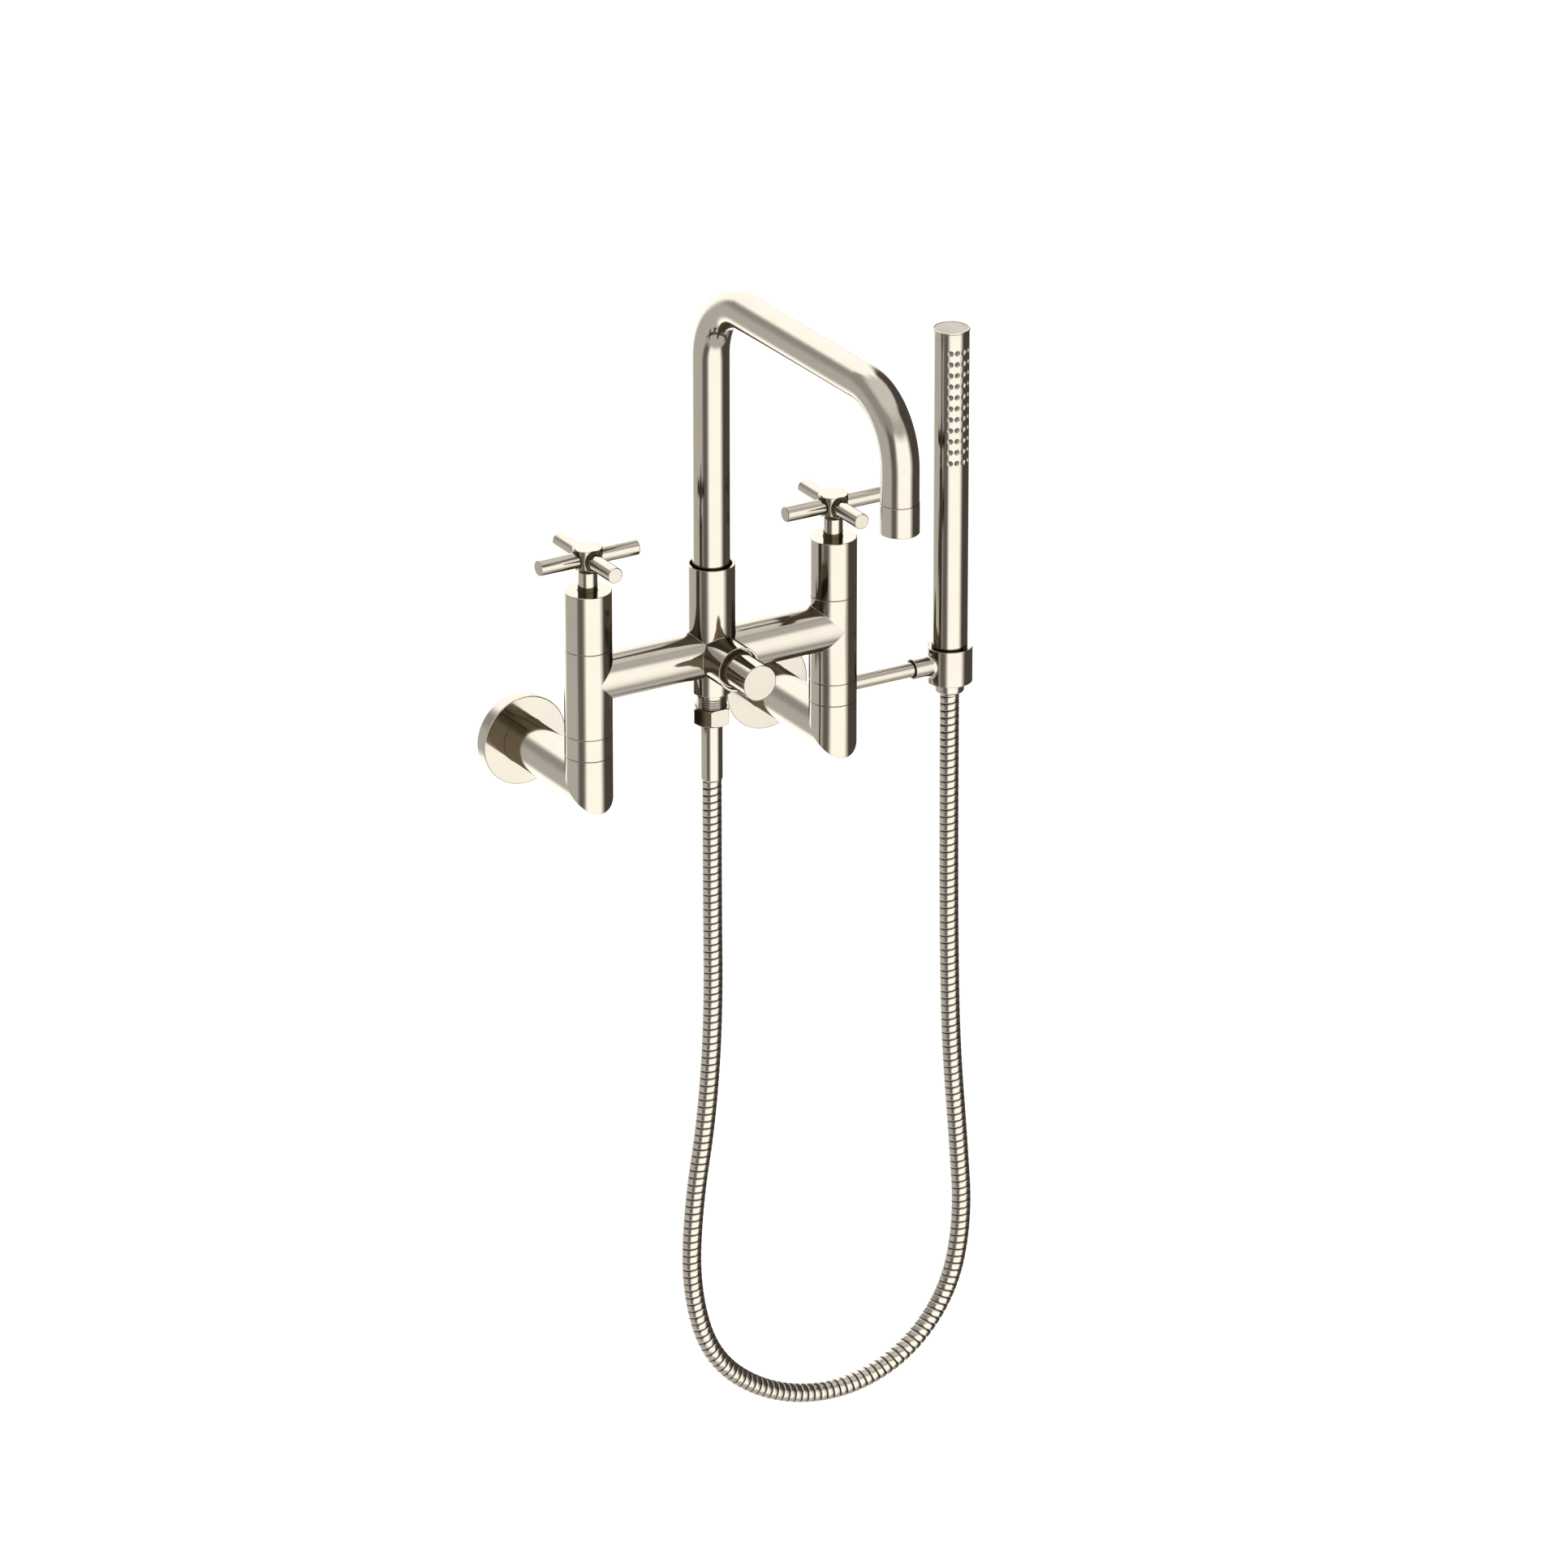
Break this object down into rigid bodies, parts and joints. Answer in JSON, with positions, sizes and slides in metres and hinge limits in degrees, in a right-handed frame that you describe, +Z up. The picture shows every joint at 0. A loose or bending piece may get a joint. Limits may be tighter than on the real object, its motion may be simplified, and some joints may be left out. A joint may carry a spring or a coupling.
{
  "type": "wall mounted bath faucet",
  "caption": "Exposed wall mounted bath filler: bridge body on two columns, cross handles, swinging spout, pull diverter and a hand shower on a hanging hose and cradle.",
  "frame": {"origin": "on the wall plane, midway between the two supply inlets", "axes": "+X along the wall to the user's right, +Y into the wall, +Z up"},
  "size_m": [0.3627, 0.3771, 0.9105],
  "materials": {
    "polished_nickel": "polished warm nickel plating",
    "turned_brass": "turned, unplated",
    "ceramic": "ground and lapped ceramic",
    "seal_rubber": "matt",
    "nozzle_silicone": "matt",
    "white_plastic": "moulded",
    "stainless": "plain"
  },
  "bodies": {
    "fixed_body": {"wall_flange_left": "polished_nickel", "wall_flange_right": "polished_nickel", "supply_elbow_left": "polished_nickel", "supply_elbow_right": "polished_nickel", "union_ring_left": "polished_nickel", "union_ring_right": "polished_nickel", "valve_body": "polished_nickel", "column_cap_left": "polished_nickel", "column_cap_right": "polished_nickel", "diverter_gland": "polished_nickel", "outlet_nipple": "polished_nickel", "hose_nut": "polished_nickel", "hose_ferrule": "polished_nickel", "hose": "polished_nickel", "cradle_rod": "polished_nickel", "wand_holder": "polished_nickel", "cartridge_body_left": "turned_brass", "cartridge_body_right": "turned_brass", "fixed_disc_left": "ceramic", "fixed_disc_right": "ceramic", "union_seals": "seal_rubber", "seat_seals": "seal_rubber", "hose_washer_lower": "seal_rubber", "spout_bearing": "white_plastic", "check_valve": "white_plastic", "spout_lock_screw": "stainless", "holder_screw": "stainless"},
    "hot_handle": {"moving_disc_left": "ceramic", "spindle_left": "turned_brass", "spindle_o_ring_left": "seal_rubber", "spindle_clip_left": "stainless", "handle_hub_left": "polished_nickel", "handle_arms_left": "polished_nickel", "handle_screw_left": "stainless"},
    "cold_handle": {"moving_disc_right": "ceramic", "spindle_right": "turned_brass", "spindle_o_ring_right": "seal_rubber", "spindle_clip_right": "stainless", "handle_hub_right": "polished_nickel", "handle_arms_right": "polished_nickel", "handle_screw_right": "stainless"},
    "spout": {"spout_tube": "polished_nickel", "spout_spigot": "turned_brass", "spout_o_rings": "seal_rubber", "aerator_housing": "polished_nickel", "aerator_insert": "white_plastic", "aerator_washer": "seal_rubber"},
    "diverter": {"diverter_knob": "polished_nickel", "diverter_rod": "turned_brass", "diverter_o_ring": "seal_rubber", "diverter_plunger": "turned_brass", "diverter_seals": "seal_rubber"},
    "wand": {"wand_shell": "polished_nickel", "wand_cap": "polished_nickel", "wand_liner": "white_plastic", "wand_nozzles": "nozzle_silicone", "wand_tail": "turned_brass", "cone_nut": "polished_nickel", "hose_washer_upper": "seal_rubber"}
  },
  "joints": [
    {"name": "hot_handle_turn", "type": "hinge", "parent": "fixed_body", "child": "hot_handle", "pos_m": [-0.1016, -0.1035, 0.1741], "axis": [0, 0, 1], "range_deg": [0, 90]},
    {"name": "cold_handle_turn", "type": "hinge", "parent": "fixed_body", "child": "cold_handle", "pos_m": [0.1016, -0.1035, 0.1741], "axis": [0, 0, 1], "range_deg": [-90, 0]},
    {"name": "spout_swivel", "type": "hinge", "parent": "fixed_body", "child": "spout", "pos_m": [0, -0.1035, 0.1494], "axis": [0, 0, 1], "range_deg": [-90, 90]},
    {"name": "diverter_pull", "type": "slide", "parent": "fixed_body", "child": "diverter", "axis": [0, -1, 0], "range_m": [0, 0.008]},
    {"name": "wand_lift", "type": "slide", "parent": "fixed_body", "child": "wand", "axis": [0, 0, 1], "range_m": [0, 0.045]}
  ]
}
